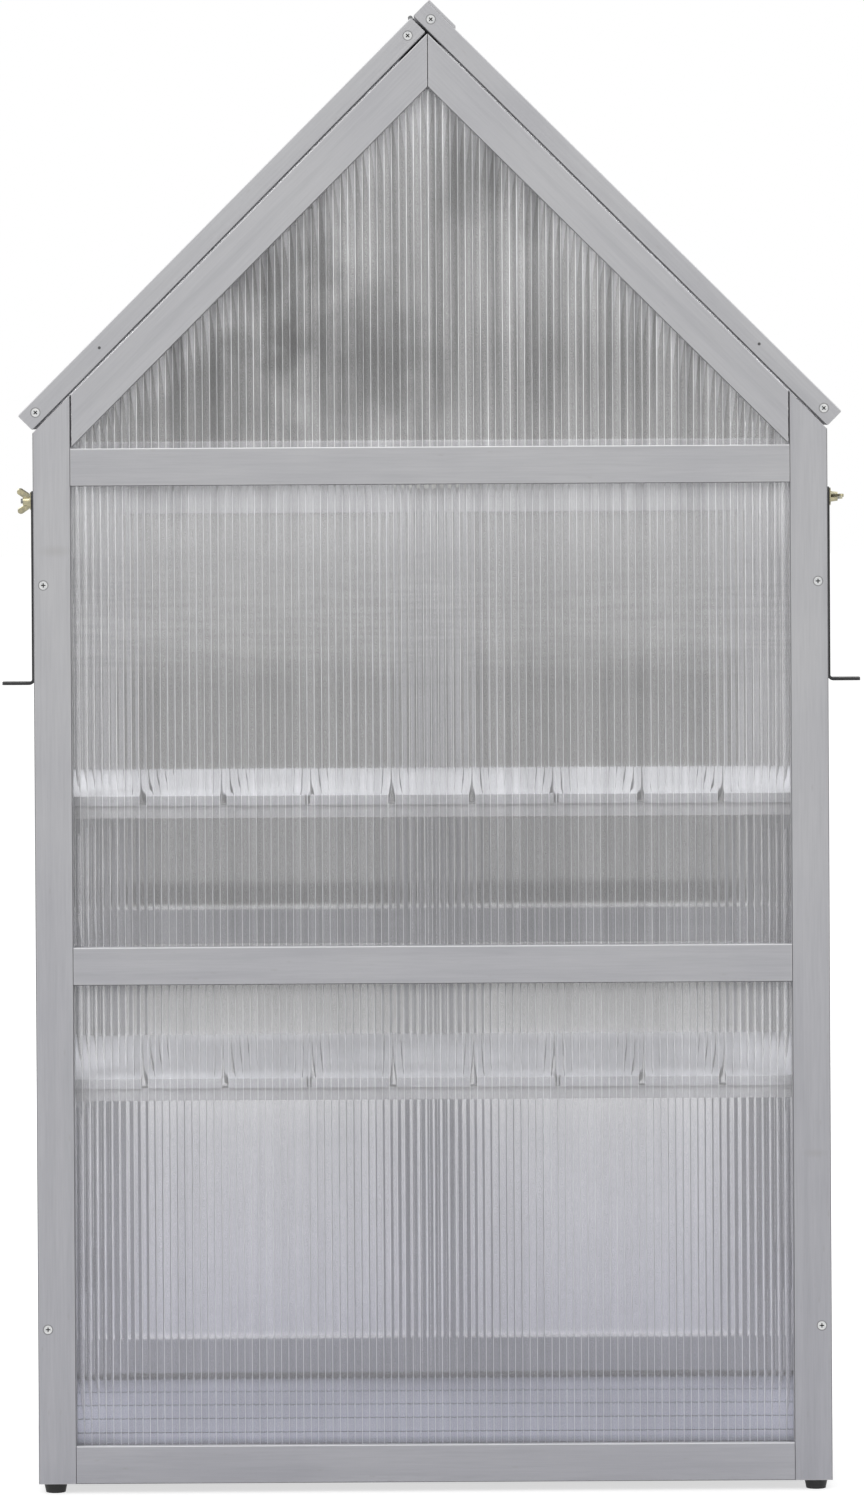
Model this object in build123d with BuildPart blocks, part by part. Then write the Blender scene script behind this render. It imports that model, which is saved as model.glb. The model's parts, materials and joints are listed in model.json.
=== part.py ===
"""Mini greenhouse: grey wooden gable house glazed with twin-wall sheet, lifting roof flaps and double doors.

Millimetres. +Z is up, +X runs along the gable from left to right, and the doors are on the +Y side.
The origin lies on the ground, in the middle of the overall box.
"""
import os
from math import cos, radians, sin, sqrt

from build123d import *

os.makedirs("parts", exist_ok=True)

# Overall sizes of the house
width = 800.0  # over the corner posts
depth = 480.0  # over the two gable frames
light_height = 465.0  # clear height of each lower opening

# Timber and sheet
bar_width = 38.0
bar_thickness = 21.0
edge_chamfer = 0.8
groove_depth = 8.0
groove_slack = 0.1  # each side of a sheet or a tongue
tongue_slack = 0.5  # from a tongue's tip to the bottom of its groove
sheet_thickness = 4.0
sheet_bite = 7.0  # how far a sheet reaches into a groove
skin_thickness = 0.4
flute_pitch = 14.8  # two of the real sheet's narrow flutes, to keep the faces few
mitre_gap = 0.8  # between the two rafters at the apex
rafter_gap = 1.4  # between a rafter's foot and its post

# Roof
roof_gap = 2.0  # between the rafters and a closed flap
ridge_gap = 0.5  # from the ridge corner to the left flap's upper end
ridge_overlap = 22.5  # how far the right flap runs past the ridge corner
strip_thickness = 2.5  # weather strip on the right flap
flap_end_radius = 2.0

# Doors
door_gap = 2.0

# Floor and shelves
board_count = 5
board_gap = 3.5
board_thickness = 12.0
bearer_width = 20.0
floor_margin = 1.0
floor_drop = 4.0  # from the bottom rails' top to the boards
slat_width = 78.0
slat_gap = 5.7
slat_thickness = 9.5
batten_width = 20.0
batten_height = 13.0
batten_inset = 4.0
cleat_width = 15.0
cleat_height = 20.0
shelf_margin = 2.0
door_clearance = 6.0  # from the shelves to the doors
lower_shelf_height = 406.0  # top of the slats above the foot of the posts
upper_shelf_height = 692.0

# Feet
foot_height = 10.0
foot_radius = 12.0
foot_taper = 12.0
foot_inset = 16.0

# Countersunk screws
screw_head_radius = 4.3
screw_head_height = 2.4
screw_radius = 1.9
screw_slack = 0.1
screw_sink = 0.3  # of a head below the wood
countersink_angle = 90.0
recess_length = 4.6
recess_width = 1.1
recess_depth = 1.3
frame_screw_length = 50.0
flap_screw_length = 68.0
frame_screw_inset = 10.0
frame_screw_heights = (156.0, 906.5)
flap_screw_inset = 15.0  # from a flap's ends

# Hinges
knuckle_radius = 2.5
knuckle_count = 3
knuckle_gap = 0.4
leaf_thickness = 1.2
leaf_width = 19.0
leaf_clearance = 0.5
pin_radius = 1.1
pin_clearance = 0.05
ridge_hinge_length = 40.0
left_hinge_offset = 100.0
right_hinge_offset = 155.0
door_hinge_length = 50.0
door_hinge_inset = 110.0

# Door furniture
knob_projection = 20.0
knob_radius = 12.0
knob_neck_radius = 6.5
knob_neck_length = 7.0
knob_rim_height = 3.0
knob_dome_height = 4.5
catch_length = 44.0
catch_height = 26.0
catch_drop = 13.0
catch_depth = 14.0
plate_length = 16.0
plate_height = 11.0
plate_thickness = 1.0
catch_clearance = 0.3

# Roof stays with their bolts and wing nuts
stay_width = 20.0
stay_thickness = 3.0
stay_length = 186.0  # bolt to leg
stay_reach = 34.0  # leg tip out from the wall
stay_bend = 3.0
stay_clearance = 0.8
bolt_radius = 2.5
bolt_slack = 0.05
bolt_head_radius = 6.5
bolt_head_height = 3.0
bolt_head_taper = 35.0
bolt_projection = 14.5
bolt_drop = 69.0  # below the top of the side wall
washer_radius = 9.0
washer_thickness = 1.2
stack_clearance = 0.2
nut_radius = 5.5
nut_height = 7.0
nut_taper = 8.0
wing_length = 14.0
wing_height = 6.5
wing_thickness = 3.0
wing_lean = 52.0
wing_rise = 6.4  # middle of a wing above the nut's foot
wing_offset = 8.6  # middle of a wing from the bolt
left_wing_turn = 28.0
right_wing_turn = 84.0

# Sizes that follow
groove_width = sheet_thickness + 2 * groove_slack
tongue_thickness = groove_width - 2 * groove_slack
tongue_length = groove_depth - tongue_slack
root_two = sqrt(2.0)
half_width = width / 2
clear_half = half_width - bar_width
back_y = -(depth + knob_projection) / 2
front_y = back_y + depth
middle_y = (back_y + front_y) / 2
back_inner = back_y + bar_thickness
front_inner = front_y - bar_thickness
side_inner = half_width - bar_thickness

post_foot = foot_height
middle_rail_foot = post_foot + bar_width + light_height
eaves_rail_foot = middle_rail_foot + bar_width + light_height
eaves_top = eaves_rail_foot + bar_width
wall_top = eaves_top + bar_width * (root_two - 1)
apex_z = wall_top + half_width
flap_foot = -(half_width * root_two - roof_gap)

up_right_slope = Vector(-1, 0, 1).normalized()
up_left_slope = Vector(1, 0, 1).normalized()

back_wall = Plane(origin=(0, back_y + bar_thickness / 2, 0), x_dir=(1, 0, 0), z_dir=(0, -1, 0))
front_wall = Plane(origin=(0, front_y - bar_thickness / 2, 0), x_dir=(-1, 0, 0), z_dir=(0, 1, 0))
left_wall = Plane(origin=(bar_thickness / 2 - half_width, middle_y, 0), x_dir=(0, -1, 0), z_dir=(-1, 0, 0))
mid_depth = Plane(origin=(0, middle_y, 0), z_dir=(0, 1, 0))


def write(part, name):
    """Label one piece or group of pieces and save it."""
    part.label = name
    export_step(part, f"parts/{name}.step")


def group(pieces):
    """Separate solids that share one name."""
    with BuildPart() as made:
        for piece in pieces:
            add(piece)
    return made.part


def mirrored(part, about=Plane.YZ):
    """The same piece on the other side of the house."""
    return mirror(part, about=about)


def block(low, high):
    """A square-edged piece between two opposite corners."""
    size = [b - a for a, b in zip(low, high)]
    with BuildPart() as made:
        with Locations(low):
            Box(*size, align=(Align.MIN, Align.MIN, Align.MIN))
    return made.part


def board(low, high, along):
    """A planed board or batten with its long edges eased."""
    with BuildPart() as made:
        add(block(low, high))
        chamfer(made.edges().filter_by(along), length=edge_chamfer)
    return made.part


def bar(section, length, grooves=(), tongue=0.0):
    """A bar that starts on the section plane, grooved on the given edges and tongued at both ends."""
    with BuildPart() as made:
        with BuildSketch(section) as profile:
            Rectangle(bar_width, bar_thickness)
            chamfer(profile.vertices(), length=edge_chamfer)
            for side in grooves:
                with Locations((side * bar_width / 2, 0)):
                    Rectangle(2 * groove_depth, groove_width, mode=Mode.SUBTRACT)
        extrude(amount=length)
        if tongue:
            with BuildSketch(section.offset(-tongue)):
                Rectangle(bar_width - 2 * groove_depth, tongue_thickness)
            extrude(amount=length + 2 * tongue)
    return made.part


def upright(wall, x, foot, top, grooves=()):
    """A bar up the wall's own plane, centred on x."""
    section = Plane(origin=wall.from_local_coords((x, foot, 0)), x_dir=wall.x_dir, z_dir=wall.y_dir)
    return bar(section, top - foot, grooves)


def rail(wall, left, right, foot, grooves=(), tongue=tongue_length):
    """A bar across the wall's own plane, with its lower edge at foot."""
    centre = wall.from_local_coords((left, foot + bar_width / 2, 0))
    section = Plane(origin=centre, x_dir=wall.y_dir, z_dir=wall.x_dir)
    return bar(section, right - left, grooves, tongue)


def sheet(wall, left, right, foot, top):
    """A twin-wall sheet that reaches into the grooves around an opening, with its flutes upright."""
    across = right - left + 2 * sheet_bite
    flutes = int((across - skin_thickness) / flute_pitch)
    corner = wall.from_local_coords(((left + right) / 2, foot - sheet_bite, 0))
    with BuildPart() as made:
        with BuildSketch(Plane(origin=corner, x_dir=wall.x_dir, z_dir=wall.y_dir)):
            Rectangle(across, sheet_thickness)
            with GridLocations(flute_pitch, 0, flutes, 1):
                hollow = sheet_thickness - 2 * skin_thickness
                Rectangle(flute_pitch - skin_thickness, hollow, mode=Mode.SUBTRACT)
        extrude(amount=top - foot + 2 * sheet_bite)
    return made.part


def glazed_frame(wall, left, right, rail_feet):
    """Stiles, rails and sheets of one frame, whose rails lie at the given heights."""
    foot = rail_feet[0]
    top = rail_feet[-1] + bar_width
    inner_left = left + bar_width
    inner_right = right - bar_width
    stiles = [
        upright(wall, left + bar_width / 2, foot, top, grooves=(1,)),
        upright(wall, right - bar_width / 2, foot, top, grooves=(-1,)),
    ]
    rails = []
    for rail_foot in rail_feet:
        grooves = [1] if rail_foot != rail_feet[-1] else []
        if rail_foot != foot:
            grooves.append(-1)
        rails.append(rail(wall, inner_left, inner_right, rail_foot, grooves))
    sheets = []
    for below, above in zip(rail_feet, rail_feet[1:]):
        sheets.append(sheet(wall, inner_left, inner_right, below + bar_width, above))
    return stiles, rails, sheets


def screw(face, length):
    """A countersunk cross-head screw, driven in from the face plane."""
    head = face.offset(-screw_sink)
    with BuildPart() as made:
        with BuildSketch(head):
            Circle(screw_head_radius)
        extrude(amount=-screw_head_height, taper=countersink_angle / 2)
        with BuildSketch(head):
            Circle(screw_radius)
        extrude(amount=-length)
        with BuildSketch(head):
            Rectangle(recess_length, recess_width)
            Rectangle(recess_width, recess_length)
        extrude(amount=-recess_depth, mode=Mode.SUBTRACT)
    return made.part


def drilled(part, faces, length):
    """The piece with a countersunk hole for a screw at each face plane."""
    with BuildPart() as made:
        add(part)
        for face in faces:
            with Locations(face.offset(-screw_sink)):
                CounterSinkHole(
                    radius=screw_radius + screw_slack,
                    counter_sink_radius=screw_head_radius + screw_slack,
                    depth=length + screw_slack,
                    counter_sink_angle=countersink_angle,
                )
    return made.part


def area(corners):
    """A rectangle in the sketch between two opposite corners."""
    (left, foot), (right, top) = corners
    with Locations(((left + right) / 2, (foot + top) / 2)):
        Rectangle(right - left, top - foot)


def hinge_leaf(axis, length, plate, web, own):
    """One hinge leaf: a plate, and knuckles on the given thirds of the pin."""
    share = length / knuckle_count
    start = axis.offset(-length / 2)
    with BuildPart() as made:
        with BuildSketch(start):
            area(plate)
        extrude(amount=length)
        for place in own:
            with BuildSketch(start.offset(place * share + knuckle_gap / 2)):
                Circle(knuckle_radius)
                area(web)
            extrude(amount=share - knuckle_gap)
        with BuildSketch(start):
            Circle(pin_radius + pin_clearance)
        extrude(amount=length, mode=Mode.SUBTRACT)
    return made.part


def hinge_pin(axis, length):
    """The pin that runs the whole length of a hinge."""
    with BuildPart() as made:
        with BuildSketch(axis.offset(-length / 2)):
            Circle(pin_radius)
        extrude(amount=length)
    return made.part


# Corner posts: cut to the roof slope on top and grooved for the back wall's sheets
def post(wall, grooves, screw_faces):
    """The left post of a gable frame."""
    slope = Plane(origin=(-half_width, 0, wall_top), z_dir=(-1, 0, 1))
    with BuildPart() as made:
        side = -1 if wall.x_dir.X > 0 else 1
        add(upright(wall, side * (half_width - bar_width / 2), post_foot, wall_top + 2 * bar_width, grooves))
        split(bisect_by=slope, keep=Keep.BOTTOM)
    return drilled(made.part, screw_faces, frame_screw_length)


def frame_screw_faces(y, outward):
    """Where the screws enter the left post of a gable frame."""
    x = frame_screw_inset - half_width
    return [Plane(origin=(x, y, post_foot + z), z_dir=(0, outward, 0)) for z in frame_screw_heights]


back_screw_faces = frame_screw_faces(back_y, -1)
front_screw_faces = frame_screw_faces(front_y, 1)
back_left_post = post(back_wall, (1,), back_screw_faces)
front_left_post = post(front_wall, (), front_screw_faces)
write(back_left_post, "back_left_post")
write(mirrored(back_left_post), "back_right_post")
write(front_left_post, "front_left_post")
write(mirrored(front_left_post), "front_right_post")

left_frame_screws = [screw(face, frame_screw_length) for face in back_screw_faces + front_screw_faces]
write(group(left_frame_screws + [mirrored(piece) for piece in left_frame_screws]), "frame_screws")

# Gable rails: three across the back, two around the door opening
back_bottom_rail = rail(back_wall, -clear_half, clear_half, post_foot, (1,))
back_middle_rail = rail(back_wall, -clear_half, clear_half, middle_rail_foot, (1, -1))
back_eaves_rail = rail(back_wall, -clear_half, clear_half, eaves_rail_foot, (1, -1))
front_bottom_rail = rail(front_wall, -clear_half, clear_half, post_foot, tongue=0)
front_eaves_rail = rail(front_wall, -clear_half, clear_half, eaves_rail_foot, (1,), tongue=0)
write(back_bottom_rail, "back_bottom_rail")
write(back_middle_rail, "back_middle_rail")
write(back_eaves_rail, "back_eaves_rail")
write(front_bottom_rail, "front_bottom_rail")
write(front_eaves_rail, "front_eaves_rail")

# Rafters: mitred at the apex, cut upright against the posts, grooved underneath
rafter_length = half_width * root_two
rafter_start = Vector(-half_width, back_wall.origin.Y, wall_top) - up_right_slope * (bar_width / 2)
rafter_section = Plane(origin=rafter_start, x_dir=up_right_slope, z_dir=up_left_slope)
with BuildPart() as left_rafter:
    add(bar(rafter_section, rafter_length + bar_width, grooves=(-1,)))
    split(bisect_by=Plane.YZ.offset(rafter_gap - clear_half), keep=Keep.TOP)
    split(bisect_by=Plane.YZ.offset(-mitre_gap / 2), keep=Keep.BOTTOM)
back_rafters = group([left_rafter.part, mirrored(left_rafter.part)])
write(back_rafters, "back_rafters")
write(mirrored(back_rafters, mid_depth), "front_rafters")

# Back wall sheets, and the three-cornered sheet of each gable
back_sheets = [
    sheet(back_wall, -clear_half, clear_half, post_foot + bar_width, middle_rail_foot),
    sheet(back_wall, -clear_half, clear_half, middle_rail_foot + bar_width, eaves_rail_foot),
]
write(group(back_sheets), "back_wall_sheets")

gable_peak = eaves_top + clear_half
gable_edge = clear_half - sheet_bite - groove_slack
with BuildPart() as back_gable_sheet:
    add(sheet(back_wall, -gable_edge, gable_edge, eaves_top, gable_peak + sheet_bite))
    with BuildSketch(back_wall):
        with BuildLine():
            Polyline((-clear_half, eaves_top), (clear_half, eaves_top), (0, gable_peak), close=True)
        make_face()
        offset(amount=sheet_bite, kind=Kind.INTERSECTION)
    extrude(amount=sheet_thickness, both=True, mode=Mode.INTERSECT)
write(back_gable_sheet.part, "back_gable_sheet")
write(mirrored(back_gable_sheet.part, mid_depth), "front_gable_sheet")

# Side walls: glazed frames between the gable frames, drilled for the frame screws and the stay's bolt
side_half = (front_inner - back_inner) / 2
side_rail_feet = [post_foot, middle_rail_foot, wall_top - bar_width]
side_stiles, side_rails, side_sheets = glazed_frame(left_wall, -side_half, side_half, side_rail_feet)
stay_y = back_inner + bar_width / 2
bolt_z = wall_top - bolt_drop
bolt_face = Plane(origin=(-half_width, stay_y, bolt_z), z_dir=(-1, 0, 0))
left_side_stiles = []
for stile in side_stiles:
    with BuildPart() as bored:
        add(stile)
        for face in back_screw_faces + front_screw_faces:
            with Locations(face):
                Hole(radius=screw_radius + screw_slack, depth=frame_screw_length + screw_sink + screw_slack)
        with Locations(bolt_face):
            Hole(radius=bolt_radius + bolt_slack, depth=2 * bar_thickness)
    left_side_stiles.append(bored.part)
write(group(left_side_stiles + [mirrored(piece) for piece in left_side_stiles]), "side_stiles")
write(group(side_rails + [mirrored(piece) for piece in side_rails]), "side_rails")
write(group(side_sheets + [mirrored(piece) for piece in side_sheets]), "side_sheets")


# Roof: two framed flaps that lie 45 degrees, the right one running past the ridge
def ridge_section(y):
    """Sketch plane across the ridge: its x is out from the right slope, its y out from the left slope."""
    return Plane(origin=(0, y, apex_z), x_dir=up_left_slope, z_dir=(0, -1, 0))


with BuildPart() as ridge_beam:
    with BuildSketch(ridge_section(front_inner)):
        Rectangle(bar_width, bar_width, align=(Align.MAX, Align.MAX))
    extrude(amount=front_inner - back_inner)
write(ridge_beam.part, "ridge_beam")


def flap_plane(out, up):
    """Middle plane of a closed flap, with its own y running up the slope from below to the ridge."""
    centre = Vector(0, middle_y, apex_z) + out * (roof_gap + bar_thickness / 2)
    return Plane(origin=centre, x_dir=up.cross(out), z_dir=out)


def round_ends(stile, plane):
    """A flap's stile with the edges across its two ends rounded over."""
    with BuildPart() as made:
        add(stile)
        layers = made.edges().filter_by(Axis.Y).group_by(Axis(plane.origin, plane.z_dir))
        fillet(layers[0] + layers[-1], radius=flap_end_radius)
    return made.part


def flap(plane, upper_end):
    """Framed flap: drilled stiles, drilled cross rails, sheet and screws."""
    stiles, rails, sheets = glazed_frame(plane, -depth / 2, depth / 2, [flap_foot, upper_end - bar_width])
    faces = []
    for side in (-1, 1):
        for y in (flap_foot + flap_screw_inset, upper_end - flap_screw_inset):
            centre = plane.from_local_coords((side * depth / 2, y, 0))
            faces.append(Plane(origin=centre, x_dir=plane.y_dir, z_dir=plane.x_dir * side))
    stiles = [drilled(round_ends(stile, plane), faces, flap_screw_length) for stile in stiles]
    rails = [drilled(piece, faces, flap_screw_length) for piece in rails]
    return group(stiles), group(rails), sheets[0], group([screw(face, flap_screw_length) for face in faces])


right_plane = flap_plane(up_left_slope, up_right_slope)
left_plane = flap_plane(up_right_slope, up_left_slope)
flaps = {"left": flap(left_plane, -ridge_gap), "right": flap(right_plane, ridge_overlap)}
for side, pieces in flaps.items():
    for piece, name in zip(pieces, ("stiles", "cross_rails", "sheet", "screws")):
        write(piece, f"{side}_flap_{name}")

strip_face = right_plane.offset(bar_thickness / 2)
with BuildPart() as ridge_strip:
    with BuildSketch(strip_face):
        with Locations((0, ridge_overlap - bar_width / 2)):
            Rectangle(depth, bar_width)
    extrude(amount=strip_thickness)
    outer_face = ridge_strip.faces().sort_by(Axis((0, 0, 0), tuple(up_left_slope)))[-1]
    chamfer(outer_face.edges(), length=edge_chamfer)
write(ridge_strip.part, "ridge_strip")

# Ridge hinges: both flaps turn on one line above the left flap's upper end
hinge_out_right = roof_gap / 2
hinge_out_left = roof_gap + bar_thickness + knuckle_radius
hinge_reach = knuckle_radius + leaf_clearance


def ridge_axis(y):
    """Hinge pin line across one hinge, in the ridge section's own directions."""
    section = ridge_section(y)
    return Plane(
        origin=section.from_local_coords((hinge_out_right, hinge_out_left, 0)),
        x_dir=section.x_dir,
        z_dir=section.z_dir,
    )


# The fixed leaf stands in the gap between the flaps and lies on the ridge beam
fixed_left = -hinge_out_right
fixed_right = fixed_left + leaf_thickness
fixed_plate = ((fixed_left, -hinge_out_left - leaf_width), (fixed_right, -hinge_reach - leaf_clearance))
fixed_web = ((fixed_left, -hinge_reach - leaf_clearance), (fixed_right, 0))
# The left leaf lies on top of the left flap
left_plate = ((-hinge_reach - leaf_width, -knuckle_radius), (-hinge_reach, leaf_thickness - knuckle_radius))
left_web = ((-hinge_reach, -knuckle_radius), (0, leaf_thickness - knuckle_radius))
# The right leaf lies on the right flap's upper end
end_face = ridge_overlap - hinge_out_left
leaf_end = hinge_reach + leaf_width - leaf_clearance
right_plate = ((hinge_reach, end_face), (leaf_end, end_face + leaf_thickness))
right_web = ((leaf_clearance, end_face), (hinge_reach, end_face + leaf_thickness))

outer_knuckles = (0, 2)
middle_knuckle = (1,)


def hinge_leaves(axes, length, plate, web, own):
    """The same leaf on each of several hinges."""
    return [hinge_leaf(axis, length, plate, web, own) for axis in axes]


left_axes = [ridge_axis(middle_y + side * left_hinge_offset) for side in (-1, 1)]
right_axes = [ridge_axis(middle_y + side * right_hinge_offset) for side in (-1, 1)]
ridge_axes = left_axes + right_axes
fixed_leaves = hinge_leaves(ridge_axes, ridge_hinge_length, fixed_plate, fixed_web, outer_knuckles)
left_leaves = hinge_leaves(left_axes, ridge_hinge_length, left_plate, left_web, middle_knuckle)
right_leaves = hinge_leaves(right_axes, ridge_hinge_length, right_plate, right_web, middle_knuckle)
write(group(fixed_leaves), "ridge_hinge_leaves")
write(group(left_leaves), "left_flap_hinge_leaves")
write(group(right_leaves), "right_flap_hinge_leaves")

# Doors: two glazed frames set flush between the front posts
door_left = door_gap - clear_half
door_right = -door_gap / 2
door_foot = post_foot + bar_width + door_gap
door_top = eaves_rail_foot - door_gap
door_rail_feet = [door_foot, middle_rail_foot, door_top - bar_width]
door_stiles, door_rails, door_sheets = glazed_frame(front_wall, -door_right, -door_left, door_rail_feet)

# Door hinges: leaves on the front faces, the pin over the gap between post and door
hinge_x = door_left - door_gap / 2
post_plate = ((-hinge_reach - leaf_width, -knuckle_radius), (-hinge_reach, leaf_thickness - knuckle_radius))
post_web = ((-hinge_reach, -knuckle_radius), (0, leaf_thickness - knuckle_radius))
door_plate = ((hinge_reach, -knuckle_radius), (hinge_reach + leaf_width, leaf_thickness - knuckle_radius))
door_web = ((0, -knuckle_radius), (hinge_reach, leaf_thickness - knuckle_radius))
hinge_heights = (door_foot + door_hinge_inset, door_top - door_hinge_inset)
door_axes = [Plane.XY.move(Location((hinge_x, front_y + knuckle_radius, z))) for z in hinge_heights]
post_leaves = hinge_leaves(door_axes, door_hinge_length, post_plate, post_web, outer_knuckles)
door_leaves = hinge_leaves(door_axes, door_hinge_length, door_plate, door_web, middle_knuckle)
write(group(post_leaves + [mirrored(piece) for piece in post_leaves]), "door_hinge_post_leaves")

door_pins = [hinge_pin(axis, door_hinge_length) for axis in door_axes]
ridge_pins = [hinge_pin(axis, ridge_hinge_length) for axis in ridge_axes]
write(group(door_pins + [mirrored(piece) for piece in door_pins]), "door_hinge_pins")
write(group(ridge_pins), "ridge_hinge_pins")

# Knob: a turned pull on the meeting stile, with a domed face
dome_radius = (knob_radius**2 + knob_dome_height**2) / (2 * knob_dome_height)
knob_x = door_right - bar_width / 2
knob_z = middle_rail_foot + bar_width / 2
knob_section = Plane(origin=(knob_x, front_y, knob_z), x_dir=(1, 0, 0), z_dir=(0, 0, 1))
with BuildPart() as knob:
    with BuildSketch(knob_section):
        with BuildLine():
            rim_top = knob_projection - knob_dome_height
            rim = Polyline(
                (0, knob_projection),
                (0, 0),
                (knob_neck_radius, 0),
                (knob_neck_radius, knob_neck_length),
                (knob_radius, rim_top - knob_rim_height),
                (knob_radius, rim_top),
            )
            RadiusArc(rim @ 1, rim @ 0, -dome_radius)
        make_face()
    revolve(axis=Axis(knob_section.origin, (0, 1, 0)))

# Magnetic catch: a body behind the eaves rail, and a plate on the back of each door
plate_face = front_inner - plate_thickness
with BuildPart() as catch:
    with BuildSketch(Plane.YZ):
        with BuildLine():
            Polyline(
                (front_inner, eaves_rail_foot),
                (front_inner, eaves_rail_foot - catch_drop + catch_height),
                (front_inner - catch_depth, eaves_rail_foot - catch_drop + catch_height),
                (front_inner - catch_depth, eaves_rail_foot - catch_drop),
                (plate_face - catch_clearance, eaves_rail_foot - catch_drop),
                (plate_face - catch_clearance, eaves_rail_foot),
                close=True,
            )
        make_face()
    extrude(amount=catch_length / 2, both=True)
write(catch.part, "magnetic_catch")

plate_right = door_right - door_gap
strike_plate = block(
    (plate_right - plate_length, plate_face, door_top - plate_height), (plate_right, front_inner, door_top)
)

left_door = {
    "stiles": group(door_stiles),
    "rails": group(door_rails),
    "sheets": group(door_sheets),
    "hinge_leaves": group(door_leaves),
    "knob": knob.part,
    "strike_plate": strike_plate,
}
for name, piece in left_door.items():
    write(piece, f"left_door_{name}")
    write(mirrored(piece), f"right_door_{name}")

# Floor: boards across the house, a little below the bottom rails' top, on three bearers
floor_top = post_foot + bar_width - floor_drop
floor_run = front_inner - back_inner - 2 * floor_margin
board_width = (floor_run - (board_count - 1) * board_gap) / board_count
boards = []
for index in range(board_count):
    start_y = back_inner + floor_margin + index * (board_width + board_gap)
    low = (floor_margin - side_inner, start_y, floor_top - board_thickness)
    boards.append(board(low, (side_inner - floor_margin, start_y + board_width, floor_top), Axis.X))
write(group(boards), "floor_boards")

bearer_top = floor_top - board_thickness
bearer_foot = bearer_top - bearer_width
bearers = []
for left in (-side_inner, -bearer_width / 2, side_inner - bearer_width):
    bearers.append(block((left, back_inner, bearer_foot), (left + bearer_width, front_inner, bearer_top)))
write(group(bearers), "floor_bearers")

# Shelves: slats from back to front on two battens, which rest on cleats along the side walls
shelf_back = back_inner + shelf_margin
shelf_front = front_inner - door_clearance
slat_step = slat_width + slat_gap
slat_count = int((2 * (side_inner - shelf_margin) + slat_gap) / slat_step)
shelf_span = slat_count * slat_step - slat_gap
battens = []
cleats = []
for name, height in (("lower", lower_shelf_height), ("upper", upper_shelf_height)):
    shelf_top = post_foot + height
    slat_foot = shelf_top - slat_thickness
    batten_foot = slat_foot - batten_height
    slats = []
    for index in range(slat_count):
        left = index * slat_step - shelf_span / 2
        high = (left + slat_width, shelf_front, shelf_top)
        slats.append(board((left, shelf_back, slat_foot), high, Axis.Y))
    write(group(slats), f"{name}_shelf_slats")
    for start_y in (shelf_back + batten_inset, shelf_front - batten_inset - batten_width):
        low = (shelf_margin - side_inner, start_y, batten_foot)
        battens.append(block(low, (side_inner - shelf_margin, start_y + batten_width, slat_foot)))
    for left in (-side_inner, side_inner - cleat_width):
        low = (left, back_inner, batten_foot - cleat_height)
        cleats.append(block(low, (left + cleat_width, shelf_front, batten_foot)))
write(group(battens), "shelf_battens")
write(group(cleats), "shelf_cleats")

# Feet: tapered round glides under the four corners
with BuildPart() as feet:
    with BuildSketch(Plane.XY.offset(post_foot)):
        with Locations((0, middle_y)):
            with GridLocations(width - 2 * foot_inset, depth - 2 * foot_inset, 2, 2):
                Circle(foot_radius)
    extrude(amount=-foot_height, taper=foot_taper)
write(feet.part, "feet")

# Stays: flat bars that hang beside the walls, each bent into a leg that props a flap
stay_inner = -half_width - stay_clearance
stay_outer = stay_inner - stay_thickness
leg_foot = bolt_z - stay_length
leg_tip = -half_width - stay_reach
with BuildPart() as left_stay:
    with BuildSketch(Plane(origin=(0, stay_y + stay_width / 2, 0), x_dir=(1, 0, 0), z_dir=(0, -1, 0))):
        with BuildLine():
            FilletPolyline(
                (stay_inner, bolt_z + stay_width / 2),
                (stay_inner, leg_foot),
                (leg_tip, leg_foot),
                radius=stay_bend + stay_thickness,
            )
            offset(amount=stay_thickness, side=Side.RIGHT)
        make_face()
    extrude(amount=stay_width)
    fillet(left_stay.edges().filter_by(Axis.X).group_by(Axis.Z)[-1], radius=stay_width / 2 - edge_chamfer)
    fillet(left_stay.edges().filter_by(Axis.Z).group_by(Axis.X)[0], radius=stay_bend)
    with Locations(bolt_face):
        Hole(radius=bolt_radius + bolt_slack, depth=2 * stay_reach)
write(left_stay.part, "left_stay")
write(mirrored(left_stay.part), "right_stay")

# Bolts: domed head inside the wall, thread outside
head_face = Plane(origin=(-side_inner, stay_y, bolt_z), z_dir=(1, 0, 0))
with BuildPart() as left_bolt:
    with BuildSketch(head_face):
        Circle(bolt_radius)
    extrude(amount=-(bar_thickness + bolt_projection))
    with BuildSketch(head_face):
        Circle(bolt_head_radius)
    extrude(amount=bolt_head_height, taper=bolt_head_taper)
write(group([left_bolt.part, mirrored(left_bolt.part)]), "stay_bolts")

washer_x = stay_outer - stack_clearance
with BuildPart() as left_washer:
    with BuildSketch(Plane(origin=(washer_x, stay_y, bolt_z), z_dir=(-1, 0, 0))):
        Circle(washer_radius)
        Circle(bolt_radius + bolt_slack, mode=Mode.SUBTRACT)
    extrude(amount=washer_thickness)
write(group([left_washer.part, mirrored(left_washer.part)]), "stay_washers")


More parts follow.
